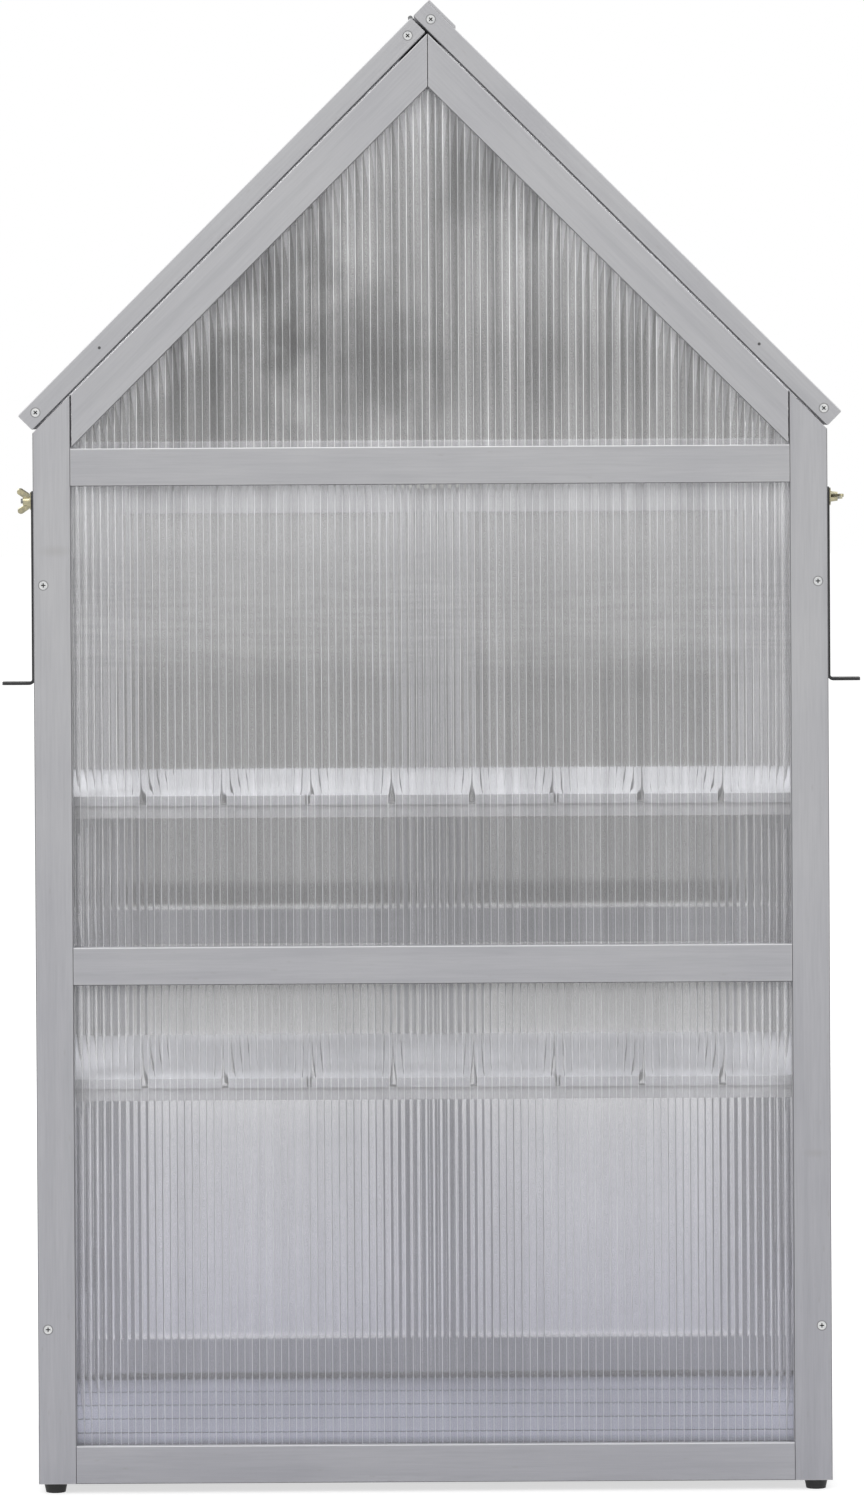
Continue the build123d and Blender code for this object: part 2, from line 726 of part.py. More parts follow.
def wing_nut(turn):
    """Wing nut on the left bolt, with its wings turned from upright by the given angle."""
    foot = Vector(washer_x - washer_thickness - stack_clearance, stay_y, bolt_z)
    outward = Vector(-1, 0, 0)
    along = Vector(0, -sin(radians(turn)), cos(radians(turn)))
    base = Plane(origin=foot, x_dir=along, z_dir=outward)
    wing_section = Plane(origin=foot, x_dir=along, z_dir=along.cross(outward))
    with BuildPart() as made:
        with BuildSketch(base):
            Circle(nut_radius)
        extrude(amount=nut_height, taper=nut_taper)
        with BuildSketch(wing_section):
            for side in (-1, 1):
                with Locations((side * wing_offset, wing_rise)):
                    SlotOverall(wing_length, wing_height, rotation=side * wing_lean)
        extrude(amount=wing_thickness / 2, both=True)
        with BuildSketch(base):
            Circle(bolt_radius + bolt_slack)
        extrude(amount=nut_height + wing_length, mode=Mode.SUBTRACT)
    return made.part


write(wing_nut(left_wing_turn), "left_wing_nut")
write(mirrored(wing_nut(right_wing_turn)), "right_wing_nut")
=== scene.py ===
"""Mini greenhouse: paint, fluted sheets, fittings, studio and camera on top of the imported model."""
import json
import random
from math import pi, radians, sqrt

import bmesh
import bpy
from mathutils import Matrix, Vector


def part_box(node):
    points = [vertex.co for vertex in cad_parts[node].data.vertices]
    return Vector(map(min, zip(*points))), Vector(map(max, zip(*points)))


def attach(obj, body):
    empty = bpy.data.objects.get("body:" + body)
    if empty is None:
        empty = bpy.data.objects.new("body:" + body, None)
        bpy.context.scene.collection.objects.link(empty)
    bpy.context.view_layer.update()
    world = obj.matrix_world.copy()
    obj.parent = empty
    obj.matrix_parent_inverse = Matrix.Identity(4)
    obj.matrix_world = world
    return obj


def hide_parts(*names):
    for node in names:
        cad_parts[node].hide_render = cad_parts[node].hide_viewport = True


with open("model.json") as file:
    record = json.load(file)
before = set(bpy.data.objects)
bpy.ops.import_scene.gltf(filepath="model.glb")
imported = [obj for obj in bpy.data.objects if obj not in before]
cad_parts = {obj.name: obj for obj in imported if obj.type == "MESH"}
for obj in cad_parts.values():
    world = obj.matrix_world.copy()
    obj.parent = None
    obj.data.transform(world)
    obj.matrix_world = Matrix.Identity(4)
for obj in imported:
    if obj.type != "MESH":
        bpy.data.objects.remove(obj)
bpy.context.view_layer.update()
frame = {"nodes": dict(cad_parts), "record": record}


def grey(level, blue=None):
    """A neutral colour, or one that is off in its blue."""
    return (level, level, level if blue is None else blue, 1)


# Fluted sheet
sheet_thickness = 0.004
sheet_bite = 0.007  # how far a sheet reaches into the frame's grooves
flute_pitch = 0.0074
cell_sink = (0.00008, 0.00018)  # how far the skins sink towards a web
web_groove = 0.00022  # deeper sink right at a web
cell_steps = (0.0, 0.09, 0.20, 0.5, 0.80, 0.91)  # columns across a cell, in parts of the pitch
groove_reach = 0.15
web_thickness = 0.0006
web_inset = 0.0004

# Hinges and their screws
leaf_width = 0.019
leaf_thickness = 0.0012
door_leaf_length = 0.050
ridge_leaf_length = 0.040
flap_leaves = {  # screws up the slope and out from the pins
    "left": (-0.0125, -0.0013),
    "right": (0.01225, -0.0018),
}
screw_spread = 0.3  # screws from a leaf's middle, in parts of its length
screw_slew = pi / 5  # each screw is left at another angle
head_radius = 0.0027
head_height = 0.0007
head_shoulder = 0.6  # height of the rim, in parts of the head's height
head_sink = 0.0003
recess_arm = 0.0016
recess_half = 0.00035
recess_depth = 0.0005

# Noises: scale, detail and roughness. Reaches: the range that counts, and then what it becomes.
noise_middle = (0.3, 0.7)  # where nearly all of a noise lies

# Paint on the wood
grey_paint = grey(0.472, 0.484)
# Painted light: the shelf slats are far paler than the frame's grey, for the strong light from above on them
lit_shelf_paint = (0.80, 0.805, 0.83, 1)
batten_paint = grey(0.51, 0.515)
floor_paint = (0.55, 0.565, 0.62, 1)
satin = (0.36, 0.48, 0.5)  # roughness from and to, and specular level
matt = (0.55, 0.66, 0.15)
grain_run = (1, 1, 0.035)  # noise is drawn out along a stick
fibre_noise = (520.0, 4.0, 0.6)
fibre_reach = (0.40, 0.66, 0.0, 0.36)
fibre_tone = grey(0.80, 0.81)
fibre_relief = 0.6
band_noise = (90.0, 2.0, 0.5)
band_reach = (0.42, 0.70, 0.0, 0.55)
band_tone = grey(0.86, 0.87)
band_relief = 0.4
patch_noise = (7.0, 3.0, 0.5)
patch_reach = (0.35, 0.70, 0.0, 0.90)
patch_tone = grey(0.92, 0.935)
paint_bump = {"Strength": 0.22, "Distance": 0.0006}
ground_shade_reach = (0.05, 0.9, 1.0, 0.0)  # heights over which the painted shade near the ground fades out
ground_shade_tone = grey(0.92, 0.965)

# Knots, edges, screw rims and holes
knot_tone = (0.30, 0.28, 0.27, 1)
knot_cells = (15, 15, 4.5)
knot_reach = (0.04, 0.10, 0.22, 0.0)
knot_stretch = (0.8, 1, 2.2)
knot_heart = 0.2  # darkest part of a large knot, in parts of its radius
knot_depth = 0.24
post_knots = (((-0.378, -0.250, 0.951), 0.016), ((0.384, -0.250, 0.34), 0.012))
facing = (0.55, 0.80)  # how squarely a face has to look one way
# Painted shade: on slat ends, together with end grain that soaks up paint, and in gaps and joints between parts
end_grain_shade = grey(0.61)
joint_shade = grey(0.14, 0.15)
# Painted highlight on the tops of rails, where light from above falls
ledge_highlight_tone = grey(0.95, 0.96)
ledge_highlight_share = 0.9  # how much of this painted highlight the tops of the door rails have
bare_edge = (0.62, 0.61, 0.60, 1)
wear_radius = 0.0016
wear_samples = 4
wear_reach = (0.99, 0.86, 0.0, 0.55)
wear_patches = (0.35, 0.6)
# Painted highlight on arrises that look up, painted shade on arrises that look sideways or down
arris_slant = (0.92, 0.80)  # how far an arris turns from the faces beside it
arris_run = (0.5, 0.3)  # arrises along a stick, not at its ends
arris_shade = (0.20, 0.05)
arris_highlight_reach = (0.25, 0.55, 0.0, 0.6)
arris_shadow = grey(0.40, 0.41)
arris_highlight = grey(0.86, 0.88)
frame_head_radius = 0.0043  # of the screws that hold the frames
rim_shadow_reach = (0.0047, 0.0056, 0.7, 0.0)  # painted shade in the rim around a countersunk screw
rim_shadow = grey(0.10)
pilot_hole = (0.332, -0.250, 1.1554)
pilot_radius = 0.0018
pilot_heart = 0.7  # darkest part of the painted shade in a pilot hole, in parts of its radius
pilot_depth = 0.9
# Painted shade inside holes and screw recesses
recess_shadow = grey(0.02)

# Metal and plastic
plating_clouds = (260.0, 3.0)
plating_reach = (0.35, 0.65)
plating_grain = (1800.0, 2.0)
plating_sheen = (-0.08, 0.10)  # roughness below and above its middle
plating_bump = {"Strength": 0.12, "Distance": 0.0002}
recess_reach = (0.0002, 0.0006)  # how deep in a screw's recess the painted shade sets in
coat_dust = (40.0, 3.0)
coat_reach = (0.4, 0.75)
coat_sheen = (-0.05, 0.08)
coat_detail = 2.0
coat_depth = 0.0003

# Clear sheet: heights in metres, and the grey and blue of the light that passes there
# Beside the plastic's own slight tint, these bands are painted light and shade: dark strips at the grooves, and
# lighter and darker bands for the light and shade on what is seen through the sheet
back_tint_and_shade = (
    (0.000, 0.45, 0.47),
    (0.049, 0.45, 0.47),
    (0.053, 0.745, 0.785),
    (0.360, 0.775, 0.795),
    (0.414, 0.87, 0.875),
    (0.419, 0.905, 0.91),
    (0.462, 0.905, 0.91),
    (0.468, 0.875, 0.88),
    (0.500, 0.87, 0.875),
    (0.560, 0.80, 0.81),
    (0.699, 0.80, 0.805),
    (0.705, 0.865, 0.87),
    (0.731, 0.865, 0.87),
    (0.737, 0.805, 0.805),
    (0.940, 0.805, 0.805),
    (0.990, 0.96, 0.96),
    (1.030, 0.97, 0.97),
    (1.070, 0.99, 0.99),
)
door_tint_and_shade = (
    (0.000, 0.95, 0.96),
    (0.090, 0.95, 0.96),
    (0.092, 0.57, 0.63),
    (0.340, 0.65, 0.67),
    (0.400, 0.52, 0.53),
    (0.440, 0.37, 0.37),
    (0.500, 0.34, 0.34),
    (0.540, 0.95, 0.95),
    (0.553, 0.95, 0.95),
    (0.555, 0.12, 0.12),
    (0.577, 0.12, 0.12),
    (0.581, 0.30, 0.30),
    (0.700, 0.255, 0.255),
    (0.792, 0.22, 0.22),
    (0.828, 0.36, 0.36),
    (0.940, 0.41, 0.415),
    (1.060, 0.28, 0.28),
    (1.220, 0.35, 0.35),
    (1.380, 0.38, 0.38),
)
tallest = 1.6
# Painted reflections: darker patches high on the sheets
reflection_patch_noise = (5.0, 3.0)
reflection_patch_reach = (0.36, 0.64)
reflection_patch_heights = (1.0, 1.15, 0.25, 1.0)
reflection_patch_tone = grey(0.80)
gable_reflections = (  # painted reflections: middle, reach and strength
    ((-0.155, -0.24, 1.232), 0.090, 1.00),
    ((-0.062, -0.24, 1.130), 0.090, 0.75),
    ((-0.240, -0.24, 1.100), 0.115, 0.75),
    ((0.080, -0.24, 1.325), 0.070, 0.50),
)
reflection_tone = grey(0.58)
reflection_heart = 0.2  # darkest part of a painted reflection, in parts of its reach
ragged_noise = (16.0, 4.0)
ragged_reach = (*noise_middle, -0.030, 0.030)
upright_run = (1, 1, 0.012)  # streaks run along the flutes
flap_run = (0.003, 1, 0.003)
# Painted shade in streaks along the flutes, for the stripes that the flutes make of what is seen through them
streak_noise = (135.0, 2.0, 0.5)
streak_reach = (0.38, 0.62)
streak_heights = (0.95, 1.15, 0.17, 1.0)
streak_band = (0.52, 0.56, 0.82, 0.90)  # lower heights where the painted streaks of shade are strong too
streak_share = 0.36
gable_streak = grey(0.54)
flap_streak = grey(0.72)
brush_run = (0.35, 0.35, 8.0)  # faint painted reflections across the flutes
brush_noise = (40.0, 2.0)
brush_reach = (0.40, 0.60)
brush_band = (0.80, 0.84, 0.90, 0.96)
brush_reflection_tone = grey(0.92)
skin_rough = 0.05
skin_clearness = 0.88
plastic_index = 1.45
web_noise = (30.0, 2.0)
web_rough = 0.5
web_tones = (grey(0.82, 0.84), grey(0.70, 0.73))
web_clearness = 0.30
gable_web_tones = (grey(0.94, 0.95), grey(0.84, 0.86))
gable_web_clearness = 0.12

# Studio and camera
white = grey(1)
sky_reach = (0.0, 1.0, 0.62, 1.0)  # light on the object, and white to the eye
floor_half = 30.0
floor_grey = grey(0.42)
floor_rough = 0.9
floor_glow = (0.8, 3.5, 0.66, 0.84)  # distances between which the floor turns white to the eye
lamps = (  # name, place, aim, size and power
    ("key", (-2.6, -3.2, 3.2), (0, 0, 1.0), 2.4, 82),
    ("fill", (2.8, -3.0, 3.0), (0, 0, 1.0), 2.4, 52),
    ("back left", (-2.4, 3.0, 3.2), (0, 0, 1.0), 2.4, 50),
    ("back right", (2.4, 3.0, 3.2), (0, 0, 1.0), 2.4, 50),
    ("overhead", (0.2, 0.4, 4.8), (0, 0, 0.5), 3.0, 55),
)
camera_place = (0.0143, -6.900, 1.1521)
camera_turn = 0.099  # degrees to the left
camera_roll = 0.337
camera_tilt = -0.6
camera_sensor = 36.0
camera_lens = 158.6
camera_shift = -0.2211
camera_range = 200.0

# Directions
x_axis, y_axis, z_axis = Vector((1, 0, 0)), Vector((0, 1, 0)), Vector((0, 0, 1))
up_right = Vector((1, 0, 1)).normalized()
up_left = Vector((-1, 0, 1)).normalized()
across_x = Matrix.Rotation(pi / 2, 3, "Y")
across_y = Matrix.Rotation(pi / 2, 3, "X")
upright = Matrix.Identity(3)
left_slope = Matrix.Rotation(pi / 4, 3, "Y")
right_slope = Matrix.Rotation(-pi / 4, 3, "Y")


# Node trees
def new_material(name):
    """A material with its node tree and its main shader."""
    material = bpy.data.materials.new(name)
    material.use_nodes = True
    tree = material.node_tree
    return material, tree, tree.nodes["Principled BSDF"]


def feed(tree, socket, value):
    """Link a socket to another one, or set its value."""
    if isinstance(value, bpy.types.NodeSocket):
        tree.links.new(value, socket)
    else:
        socket.default_value = value


def node(tree, kind, inputs=None, **settings):
    """A new node with its settings and inputs."""
    made = tree.nodes.new(kind)
    for key, value in settings.items():
        setattr(made, key, value)
    for key, value in (inputs or {}).items():
        feed(tree, made.inputs[key], value)
    return made


def math(tree, operation, a, b=0.0):
    """The result of one sum on numbers."""
    return node(tree, "ShaderNodeMath", {0: a, 1: b}, operation=operation).outputs[0]


def vector_math(tree, operation, a, b=(0, 0, 0), result="Vector"):
    """The result of one sum on vectors."""
    return node(tree, "ShaderNodeVectorMath", {0: a, 1: b}, operation=operation).outputs[result]


def ramp(tree, value, low, high, to_low=0.0, to_high=1.0):
    """A number moved from one range to another, held at both ends."""
    inputs = {"Value": value, "From Min": low, "From Max": high, "To Min": to_low, "To Max": to_high}
    return node(tree, "ShaderNodeMapRange", inputs, clamp=True).outputs["Result"]


def within(tree, value, limits):
    """One inside a band, falling to nought over its edges."""
    rise = ramp(tree, value, *limits[:2])
    return math(tree, "MULTIPLY", rise, ramp(tree, value, *limits[2:], 1.0, 0.0))


def mix(tree, factor, a, b, blend="MIX"):
    """Two colours mixed."""
    made = node(tree, "ShaderNodeMix", data_type="RGBA", blend_type=blend)
    feed(tree, made.inputs[0], factor)
    feed(tree, made.inputs[6], a)
    feed(tree, made.inputs[7], b)
    return made.outputs[2]


def shade(tree, factor, colour, tone):
    """A colour darkened by a tone."""
    return mix(tree, factor, colour, tone, "MULTIPLY")


def noise(tree, place, scale, detail=3.0, rough=0.55):
    """Smooth noise from 0 to 1 at a place."""
    inputs = {"Vector": place, "Scale": scale, "Detail": detail, "Roughness": rough}
    return node(tree, "ShaderNodeTexNoise", inputs).outputs[0]


def stretched(tree, place, scale):
    """Coordinates scaled along each axis."""
    return node(tree, "ShaderNodeMapping", {"Vector": place, "Scale": scale}).outputs[0]


def object_place(tree):
    """Coordinates that move with the piece."""
    return node(tree, "ShaderNodeTexCoord").outputs["Object"]


def parts_of(tree, vector):
    """The three numbers of a vector."""
    return node(tree, "ShaderNodeSeparateXYZ", {0: vector}).outputs


def distance(tree, place, centre):
    """How far a place is from a point."""
    return vector_math(tree, "DISTANCE", place, centre, "Value")


def roughen(tree, shader, height, bump):
    """Relief on a surface, from a height."""
    relief = node(tree, "ShaderNodeBump", {**bump, "Height": height})
    feed(tree, shader.inputs["Normal"], relief.outputs["Normal"])


def seen_directly(tree):
    """One for what the eye, a mirror or clear plastic sees, nought for what lights the object."""
    path = node(tree, "ShaderNodeLightPath").outputs
    seen = math(tree, "MAXIMUM", path["Is Camera Ray"], path["Is Glossy Ray"])
    return math(tree, "MAXIMUM", seen, path["Is Transmission Ray"])


# Painted timber
def painted_wood(name, colour, turn, sheen=satin, mirrored=False, holes=(), knots=(), rims=(),
                 shaded_faces=(), arris="lit", ledge=0.0):
    """Paint on a planed stick whose length is turned from upright."""
    material, tree, shader = new_material(name)
    source = node(tree, "ShaderNodeTexCoord").outputs
    place, normal = source["Object"], source["Normal"]
    rises = parts_of(tree, normal)["Z"]
    if mirrored:
        place = vector_math(tree, "ABSOLUTE", place)
        normal = vector_math(tree, "ABSOLUTE", normal)
    angles = turn.inverted().to_euler()
    turned = node(tree, "ShaderNodeMapping", {"Vector": place, "Rotation": angles}).outputs[0]
    along = stretched(tree, turned, grain_run)
    fibre = noise(tree, along, *fibre_noise)
    bands = noise(tree, along, *band_noise)
    patches = noise(tree, turned, *patch_noise)

    tone = shade(tree, ramp(tree, fibre, *fibre_reach), colour, fibre_tone)
    tone = shade(tree, ramp(tree, bands, *band_reach), tone, band_tone)
    tone = shade(tree, ramp(tree, patches, *patch_reach), tone, patch_tone)
    # Painted shade: the paint turns darker and bluer towards the ground
    tone = shade(tree, ramp(tree, parts_of(tree, place)["Z"], *ground_shade_reach), tone, ground_shade_tone)

    # Knots that show through the paint
    cells = stretched(tree, turned, knot_cells)
    spots = node(tree, "ShaderNodeTexVoronoi", {"Vector": cells}, feature="F1").outputs["Distance"]
    spot = ramp(tree, spots, *knot_reach)
    for centre, radius in knots:
        offset = vector_math(tree, "SUBTRACT", place, centre)
        away = vector_math(tree, "LENGTH", stretched(tree, offset, knot_stretch), result="Value")
        spot = math(tree, "MAXIMUM", spot, ramp(tree, away, radius * knot_heart, radius, knot_depth, 0.0))
    tone = mix(tree, spot, tone, knot_tone)

    # Painted shade on sides and ends: in gaps between slats and boards, on the sill under the doors, and on
    # slat ends, added to end grain that soaks up paint
    for direction, face_shade in shaded_faces:
        share = ramp(tree, vector_math(tree, "DOT_PRODUCT", normal, direction, "Value"), *facing)
        tone = shade(tree, share, tone, face_shade)

    # Paint worn thin along the edges
    rounded = node(tree, "ShaderNodeBevel", {"Radius": wear_radius}, samples=wear_samples).outputs["Normal"]
    flat = node(tree, "ShaderNodeNewGeometry").outputs["Normal"]
    bend = vector_math(tree, "DOT_PRODUCT", rounded, flat, "Value")
    worn = math(tree, "MULTIPLY", ramp(tree, bend, *wear_reach), ramp(tree, patches, *wear_patches))
    tone = mix(tree, worn, tone, bare_edge)

    # Painted highlight on the arrises that look up, painted shade on the others; the dark kind puts painted
    # shade in the joints on every arris
    if arris:
        own = node(tree, "ShaderNodeMapping", {"Vector": normal, "Rotation": angles}, vector_type="VECTOR")
        sides = parts_of(tree, vector_math(tree, "ABSOLUTE", own.outputs[0]))
        slanted = ramp(tree, math(tree, "MAXIMUM", sides["X"], sides["Y"]), *arris_slant)
        edge = math(tree, "MULTIPLY", slanted, ramp(tree, sides["Z"], *arris_run))
        if arris == "lit":
            tone = shade(tree, math(tree, "MULTIPLY", edge, ramp(tree, rises, *arris_shade)), tone, arris_shadow)
            tone = mix(tree, math(tree, "MULTIPLY", edge, ramp(tree, rises, *arris_highlight_reach)), tone, arris_highlight)
        else:
            tone = shade(tree, edge, tone, joint_shade)
    # Painted highlight on faces that look up
    if ledge:
        tone = mix(tree, ramp(tree, rises, *facing, 0.0, ledge), tone, ledge_highlight_tone)

    # Painted shade in the rims of the countersinks and in small pilot holes
    for centre in rims:
        tone = mix(tree, ramp(tree, distance(tree, place, centre), *rim_shadow_reach), tone, rim_shadow)
    for centre, radius in holes:
        hole = ramp(tree, distance(tree, place, centre), radius * pilot_heart, radius, pilot_depth, 0.0)
        tone = mix(tree, hole, tone, recess_shadow)

    feed(tree, shader.inputs["Base Color"], tone)
    feed(tree, shader.inputs["Roughness"], ramp(tree, fibre, *noise_middle, *sheen[:2]))
    shader.inputs["Specular IOR Level"].default_value = sheen[2]
    fibres, waves = math(tree, "MULTIPLY", fibre, fibre_relief), math(tree, "MULTIPLY", bands, band_relief)
    roughen(tree, shader, math(tree, "ADD", fibres, waves), paint_bump)
    return material


# Metal and plastic
def plated(name, colour, other, rough, heads=None):
    """Zinc plating that varies in small clouds, with painted shade inside the recesses of heads in the two
    gable faces.
    """
    material, tree, shader = new_material(name)
    place = object_place(tree)
    clouds = noise(tree, place, *plating_clouds)
    grain = noise(tree, place, *plating_grain)
    tone = mix(tree, ramp(tree, clouds, *plating_reach), colour, other)
    if heads:
        y = parts_of(tree, place)["Y"]
        from_back, from_front = math(tree, "SUBTRACT", y, heads[0]), math(tree, "SUBTRACT", heads[1], y)
        sunk = math(tree, "MINIMUM", from_back, from_front)
        tone = mix(tree, ramp(tree, sunk, *recess_reach), tone, recess_shadow)
    feed(tree, shader.inputs["Base Color"], tone)
    sheen = [rough + step for step in plating_sheen]
    feed(tree, shader.inputs["Roughness"], ramp(tree, grain, *noise_middle, *sheen))
    shader.inputs["Metallic"].default_value = 1.0
    roughen(tree, shader, grain, plating_bump)
    return material


def coated(name, colour, worn, rough, grain_scale, relief):
    """Powder coat or moulded plastic: an even colour with a fine grain and slight dust."""
    material, tree, shader = new_material(name)
    place = object_place(tree)
    dust = noise(tree, place, *coat_dust)
    grain = noise(tree, place, grain_scale, coat_detail)
    feed(tree, shader.inputs["Base Color"], mix(tree, ramp(tree, dust, *coat_reach), colour, worn))
    sheen = [rough + step for step in coat_sheen]
    feed(tree, shader.inputs["Roughness"], ramp(tree, grain, *noise_middle, *sheen))
    roughen(tree, shader, grain, {"Strength": relief, "Distance": coat_depth})
    return material


# Clear sheet
def clear_plastic(tree, shader, rough, clearness):
    """Make a shader clear, and let lamplight through to what stands behind it."""
    shader.inputs["Roughness"].default_value = rough
    shader.inputs["IOR"].default_value = plastic_index
    shader.inputs["Transmission Weight"].default_value = clearness
    clear = node(tree, "ShaderNodeBsdfTransparent", {"Color": white})
    path = node(tree, "ShaderNodeLightPath")
    both = node(tree, "ShaderNodeMixShader", {0: path.outputs["Is Shadow Ray"]})
    tree.links.new(shader.outputs[0], both.inputs[1])
    tree.links.new(clear.outputs[0], both.inputs[2])
    tree.links.new(both.outputs[0], tree.nodes["Material Output"].inputs["Surface"])


def clear_skin(name, tint_and_shade, run, streak_tone, reflections=()):
    """Tinted clear plastic with painted light and shade by height, painted reflections in patches and painted
    shade in streaks along its flutes.
    """
    material, tree, shader = new_material(name)
    place = object_place(tree)
    height = parts_of(tree, place)["Z"]
    # Painted light and shade by height, together with the plastic's own tint
    fade = node(tree, "ShaderNodeValToRGB", {"Fac": math(tree, "DIVIDE", height, tallest)})
    stops = fade.color_ramp.elements
    for index, (at, level, blue) in enumerate(tint_and_shade):
        stop = stops[index] if index < 2 else stops.new(at / tallest)
        stop.position = at / tallest
        stop.color = grey(level, blue)
    # Painted reflections in patches and smudges
    reflection_patch = ramp(tree, noise(tree, place, *reflection_patch_noise), *reflection_patch_reach)
    reflection_patch = math(tree, "MULTIPLY", reflection_patch, ramp(tree, height, *reflection_patch_heights))
    tint = shade(tree, reflection_patch, fade.outputs["Color"], reflection_patch_tone)
    ragged = ramp(tree, noise(tree, place, *ragged_noise), *ragged_reach)
    for centre, radius, strength in reflections:
        away = math(tree, "ADD", distance(tree, place, centre), ragged)
        tint = shade(tree, ramp(tree, away, radius * reflection_heart, radius, strength, 0.0), tint, reflection_tone)
    # Painted shade in streaks along the flutes
    streak = ramp(tree, noise(tree, stretched(tree, place, run), *streak_noise), *streak_reach)
    in_band = math(tree, "MULTIPLY", within(tree, height, streak_band), streak_share)
    strength = math(tree, "MAXIMUM", ramp(tree, height, *streak_heights), in_band)
    tint = shade(tree, math(tree, "MULTIPLY", streak, strength), tint, streak_tone)
    # Painted reflections in faint bands across the flutes
    brush = ramp(tree, noise(tree, stretched(tree, place, brush_run), *brush_noise), *brush_reach)
    tint = shade(tree, math(tree, "MULTIPLY", brush, within(tree, height, brush_band)), tint, brush_reflection_tone)
    feed(tree, shader.inputs["Base Color"], tint)
    clear_plastic(tree, shader, skin_rough, skin_clearness)
    return material


def sheet_web(name, tones, clearness):
    """Milky web between the two skins."""
    material, tree, shader = new_material(name)
    cloud = noise(tree, object_place(tree), *web_noise)
    feed(tree, shader.inputs["Base Color"], mix(tree, ramp(tree, cloud, *noise_middle), *tones))
    clear_plastic(tree, shader, web_rough, clearness)
    return material


# Countersunk screws, for the painted shade in the rims around them
screws_low, screws_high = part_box("frame_screws")
post_rims = [
    (side * (screws_high.x - frame_head_radius), y, z)
    for side in (-1, 1)
    for y in (screws_low.y, screws_high.y)
    for z in (screws_low.z + frame_head_radius, screws_high.z - frame_head_radius)
]


def flap_rims(side):
    """Middles of a flap's screw heads, below and by the ridge, at both gables."""
    low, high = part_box(f"{side}_flap_screws")
    lower_x, upper_x = low.x + frame_head_radius, high.x - frame_head_radius
    if side == "right":
        lower_x, upper_x = upper_x, lower_x
    ends = ((lower_x, low.z + frame_head_radius), (upper_x, high.z - frame_head_radius))
    return [(x, y, z) for x, z in ends for y in (low.y, high.y)]


# Finishes
skins = {
    "back": clear_skin("back_skin", back_tint_and_shade, upright_run, gable_streak, gable_reflections),
    "door": clear_skin("door_skin", door_tint_and_shade, upright_run, gable_streak),
    "flap": clear_skin("flap_skin", back_tint_and_shade, flap_run, flap_streak),
}
plain_web = sheet_web("sheet_web", web_tones, web_clearness)
gable_web = sheet_web("gable_web", gable_web_tones, gable_web_clearness)
left_hole = ((-pilot_hole[0], *pilot_hole[1:]), pilot_radius)
right_hole = (pilot_hole, pilot_radius)
both_y = (y_axis, -y_axis)
both_x = (x_axis, -x_axis)
sill_shade = [(face, joint_shade) for face in (z_axis, -y_axis)]
board_shade = [(face, joint_shade) for face in both_y]
slat_shade = [(face, joint_shade) for face in both_x] + [(face, end_grain_shade) for face in both_y]
wood = {
    "x": painted_wood("grey_wood_x", grey_paint, across_x),
    "y": painted_wood("grey_wood_y", grey_paint, across_y),
    "roof_y": painted_wood("grey_wood_roof_y", grey_paint, left_slope @ across_y),
    "z": painted_wood("grey_wood_z", grey_paint, upright, knots=post_knots, rims=post_rims),
    "rafter": painted_wood("grey_wood_rafter", grey_paint, right_slope, mirrored=True),
    "left": painted_wood("grey_wood_left_flap", grey_paint, left_slope, holes=(left_hole,),
                         rims=flap_rims("left")),
    "right": painted_wood("grey_wood_right_flap", grey_paint, right_slope, holes=(right_hole,),
                          rims=flap_rims("right")),
    "knob": painted_wood("grey_wood_knob", grey_paint, across_y, arris=None),
    "door_rail": painted_wood("grey_wood_door_rail", grey_paint, across_x, ledge=ledge_highlight_share),
    "sill": painted_wood("grey_wood_sill", grey_paint, across_x, shaded_faces=sill_shade, arris=None),
    "batten": painted_wood("batten_wood", batten_paint, across_x, matt, arris=None),
    "floor": painted_wood("floor_wood", floor_paint, across_x, matt, shaded_faces=board_shade, arris="dark"),
    "slat": painted_wood("slat_wood", lit_shelf_paint, across_y, matt, shaded_faces=slat_shade, arris=None),
}
zinc = plated("zinc", (0.27, 0.27, 0.265, 1), (0.19, 0.195, 0.20, 1), 0.40)
screw_zinc = plated("screw_zinc", (0.66, 0.66, 0.65, 1), (0.50, 0.51, 0.52, 1), 0.36,
                    (screws_low.y, screws_high.y))
yellow_zinc = plated("yellow_zinc", (0.44, 0.40, 0.26, 1), (0.28, 0.27, 0.20, 1), 0.34)
black_coat = coated("black_coat", grey(0.010, 0.011), grey(0.022, 0.024), 0.45, 900.0, 0.25)
foot_plastic = coated("foot_plastic", grey(0.006), grey(0.012), 0.55, 700.0, 0.2)
catch_plastic = coated("catch_plastic", grey(0.60, 0.58), grey(0.52, 0.50), 0.40, 600.0, 0.15)

